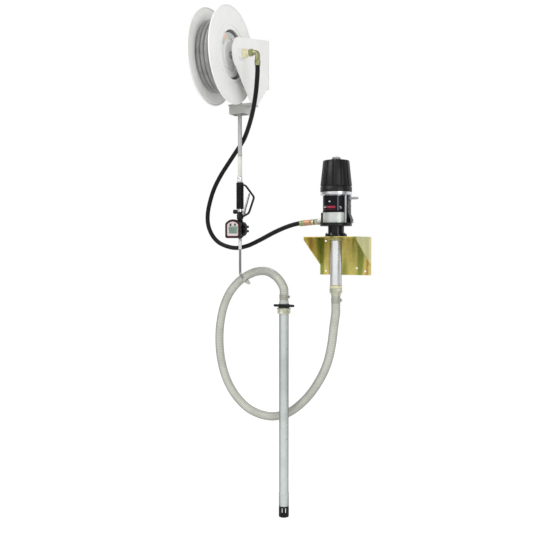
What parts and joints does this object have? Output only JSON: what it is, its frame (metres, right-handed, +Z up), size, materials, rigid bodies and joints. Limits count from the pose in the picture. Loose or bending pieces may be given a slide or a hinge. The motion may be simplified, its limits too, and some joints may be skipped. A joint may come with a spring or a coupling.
{
  "type": "pneumatic oil pump kit",
  "caption": "Wall-mounted air-operated oil pump with bracket, suction hose and drum pipe, delivery hose, hose reel and metered control gun.",
  "frame": {"origin": "centre of the wall bracket's rectangular bolt pattern, on the wall plane", "axes": "+X to the right seen from the room, +Y into the wall, +Z up"},
  "size_m": [0.7775, 0.51, 2.2539],
  "materials": {
    "yellow_zinc": "iridescent yellow zinc plating",
    "black_casting": "satin black paint",
    "black_plastic": "satin moulded",
    "zinc": "pale zinc plating",
    "chrome": "polished",
    "aluminium": "machined",
    "steel": "ground",
    "pipe_metal": "drawn tube",
    "brass": "dull",
    "copper_zinc": "pinkish zinc plating",
    "hose_rubber": "satin",
    "grip_rubber": "satin, ribbed",
    "hose_pvc": "smooth, spiral wire inside",
    "hose_grey": "smooth",
    "white_paint": "gloss powder coat",
    "grey_plastic": "satin",
    "bezel_rubber": "satin dark red",
    "face_plastic": "smooth"
  },
  "bodies": {
    "frame": {"wall_bracket": "yellow_zinc", "pump_neck": "black_casting", "shelf_nut": "zinc", "stem_tube": "chrome", "stem_inlet": "zinc", "base_flange": "black_casting", "motor_base": "aluminium", "outlet_adapter": "zinc", "air_block": "black_casting", "air_inlet": "steel", "air_cylinder": "chrome", "tie_rods": "steel", "head_plate": "chrome", "muffler_cover": "black_plastic", "cover_bolt": "chrome", "delivery_hose": "hose_rubber", "delivery_ferrule": "copper_zinc", "suction_hose": "hose_pvc", "hose_clamps": "steel", "pipe_hose_tail": "aluminium", "suction_tube": "pipe_metal", "foot_strainer": "black_plastic", "reel_frame": "white_paint", "reel_axle": "steel", "reel_swivel": "brass", "inlet_elbow": "brass", "hose_guide": "white_paint", "hose_winding": "hose_grey", "reel_hose": "hose_grey", "hose_swivel_nut": "steel"},
    "pistons": {"piston_rod": "chrome", "air_piston": "aluminium", "pump_piston": "steel"},
    "piston_ball": {"piston_ball": "steel"},
    "foot_ball": {"foot_ball": "steel"},
    "air_spool": {"air_spool": "brass"},
    "bung": {"bung_adapter": "zinc"},
    "wing_nut": {"bung_wing_nut": "black_plastic"},
    "drum": {"drum_flanges": "white_paint", "drum_core": "white_paint", "spring_case": "white_paint", "main_spring": "steel"},
    "roller_front": {"guide_roller_front": "grey_plastic"},
    "roller_rear": {"guide_roller_rear": "grey_plastic"},
    "gun": {"gun_body": "aluminium", "valve_cap": "black_plastic", "grip_sleeve": "grip_rubber", "trigger_guard": "black_plastic", "meter_body": "black_plastic", "meter_rear_cover": "black_plastic", "meter_bezel": "bezel_rubber", "meter_face": "face_plastic", "nozzle_tube": "steel", "nozzle_tip": "steel"},
    "lever": {"trigger_lever": "aluminium"},
    "valve_stem": {"valve_stem": "steel"},
    "button_left": {"button_left": "black_plastic"},
    "button_right": {"button_right": "black_plastic"},
    "gear_upper": {"oval_gear_upper": "grey_plastic"},
    "gear_lower": {"oval_gear_lower": "grey_plastic"}
  },
  "joints": [
    {"name": "piston_stroke", "type": "slide", "parent": "frame", "child": "pistons", "axis": [0, 0, 1], "range_m": [0, 0.05]},
    {"name": "piston_ball_lift", "type": "slide", "parent": "pistons", "child": "piston_ball", "axis": [0, 0, 1], "range_m": [0, 0.004]},
    {"name": "foot_ball_lift", "type": "slide", "parent": "frame", "child": "foot_ball", "axis": [0, 0, 1], "range_m": [0, 0.004]},
    {"name": "spool_shift", "type": "slide", "parent": "frame", "child": "air_spool", "axis": [0, 0, 1], "range_m": [0, 0.008]},
    {"name": "bung_slide", "type": "slide", "parent": "frame", "child": "bung", "axis": [0, 0, 1], "range_m": [-0.78, 0]},
    {"name": "wing_nut_turn", "type": "hinge", "parent": "bung", "child": "wing_nut", "pos_m": [-0.245, -0.13, -0.222], "axis": [0, 0, 1], "continuous": true},
    {"name": "drum_spin", "type": "hinge", "parent": "frame", "child": "drum", "pos_m": [-0.467, -0.3, 0.869], "axis": [1, 0, 0], "continuous": true},
    {"name": "roller_front_spin", "type": "hinge", "parent": "frame", "child": "roller_front", "pos_m": [-0.45198, -0.1717, 0.6555], "axis": [1, 0, 0], "continuous": true},
    {"name": "roller_rear_spin", "type": "hinge", "parent": "frame", "child": "roller_rear", "pos_m": [-0.45198, -0.1347, 0.6555], "axis": [1, 0, 0], "continuous": true},
    {"name": "gun_swivel", "type": "hinge", "parent": "frame", "child": "gun", "pos_m": [-0.45198, -0.1532, 0.34], "axis": [0, 0, 1], "continuous": true},
    {"name": "trigger_pull", "type": "hinge", "parent": "gun", "child": "lever", "pos_m": [-0.43197, -0.1532, 0.1913], "axis": [0, -1, 0], "range_deg": [0, 14], "stiffness_Nm_per_rad": 2, "springref_deg": -6.88},
    {"name": "valve_stem_push", "type": "slide", "parent": "gun", "child": "valve_stem", "axis": [1, 0, 0], "range_m": [-0.0024, 0.0001]},
    {"name": "button_left_press", "type": "slide", "parent": "gun", "child": "button_left", "axis": [0, 1, 0], "range_m": [0, 0.0015], "stiffness_N_per_m": 400, "springref_m": -0.0008},
    {"name": "button_right_press", "type": "slide", "parent": "gun", "child": "button_right", "axis": [0, 1, 0], "range_m": [0, 0.0015], "stiffness_N_per_m": 400, "springref_m": -0.0008},
    {"name": "gear_upper_spin", "type": "hinge", "parent": "gun", "child": "gear_upper", "pos_m": [-0.45198, -0.14, 0.1343], "axis": [0, 1, 0], "continuous": true},
    {"name": "gear_lower_spin", "type": "hinge", "parent": "gun", "child": "gear_lower", "pos_m": [-0.45198, -0.14, 0.1103], "axis": [0, 1, 0], "continuous": true}
  ],
  "couplings": [
    {"joint": "valve_stem_push", "follows": "trigger_pull", "m_per_rad": -0.0095},
    {"joint": "gear_lower_spin", "follows": "gear_upper_spin", "ratio": -1}
  ]
}
